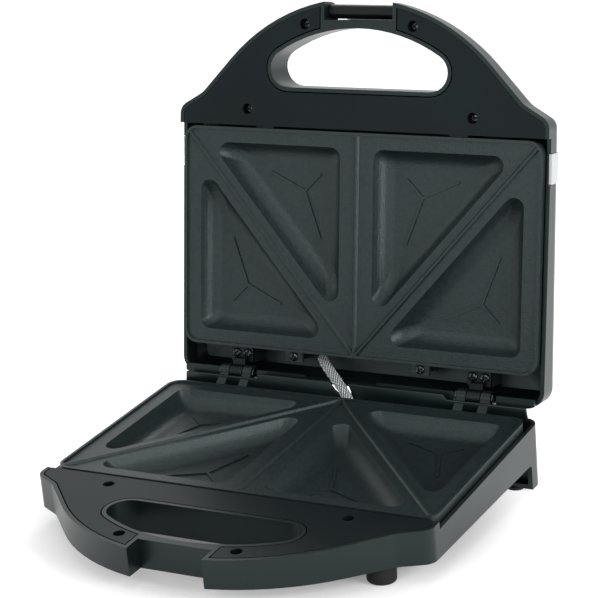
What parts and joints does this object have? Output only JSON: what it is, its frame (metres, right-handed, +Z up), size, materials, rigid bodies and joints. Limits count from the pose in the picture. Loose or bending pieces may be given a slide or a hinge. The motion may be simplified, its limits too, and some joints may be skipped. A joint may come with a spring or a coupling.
{
  "type": "hinged sandwich toaster",
  "caption": "Countertop sandwich toaster standing open: two hinged housings with triangular-pocket non-stick plates, looped handles and a flip-over latch.",
  "frame": {"origin": "on the table under the middle of the open toaster's bounding box", "axes": "+Z up, +X to the right seen from the handle side, -Y towards the handles and the user"},
  "size_m": [0.229, 0.2764, 0.2599],
  "materials": {
    "black_moulding": "satin black heat-resistant moulding",
    "face_moulding": "satin charcoal face panel",
    "nonstick_plate": "cast aluminium with a dark non-stick coating",
    "silver_trim": "silver-grey satin moulding",
    "bright_steel": "zinc-plated steel",
    "dark_steel": "black-coated steel",
    "reflector_sheet": "bright rolled sheet",
    "element_sheath": "dull steel sheath",
    "black_rubber": "matt rubber",
    "braid": "braided glass fibre, grey and white",
    "ceramic": "pale phenolic",
    "red_lens": "clear red plastic",
    "green_lens": "clear green plastic",
    "lamp_glass": "neon lamp glass"
  },
  "bodies": {
    "base": {"base_shell": "black_moulding", "base_face": "face_moulding", "base_face_screws": "bright_steel", "lower_plate": "nonstick_plate", "lower_plate_screws": "bright_steel", "lower_element": "element_sheath", "lower_element_saddles": "bright_steel", "lower_reflector": "reflector_sheet", "lower_reflector_screws": "bright_steel", "thermostat": "ceramic", "terminal_block": "ceramic", "cord_inlet": "black_moulding", "front_feet": "black_rubber", "rear_pads": "black_rubber", "hinge_pins": "bright_steel", "hinge_clips": "bright_steel", "wire_sleeve": "braid"},
    "lid": {"lid_shell": "black_moulding", "lid_band": "silver_trim", "lid_face": "face_moulding", "lid_face_screws": "bright_steel", "upper_plate": "nonstick_plate", "upper_plate_screws": "bright_steel", "upper_element": "element_sheath", "upper_element_saddles": "bright_steel", "upper_reflector": "reflector_sheet", "upper_reflector_screws": "bright_steel", "hinge_brackets": "dark_steel", "hinge_screws": "bright_steel", "power_lens": "red_lens", "ready_lens": "green_lens", "pilot_lamps": "lamp_glass", "latch_pin": "bright_steel"},
    "latch": {"latch_clip": "black_moulding"}
  },
  "joints": [
    {"name": "lid_hinge", "type": "hinge", "parent": "base", "child": "lid", "pos_m": [0, 0.07761, 0.04482], "axis": [1, 0, 0], "range_deg": [0, 101.7], "deforming": ["wire_sleeve"]},
    {"name": "latch_pivot", "type": "hinge", "parent": "lid", "child": "latch", "pos_m": [0, 0.10926, 0.25345], "axis": [1, 0, 0], "range_deg": [0, 195]}
  ]
}
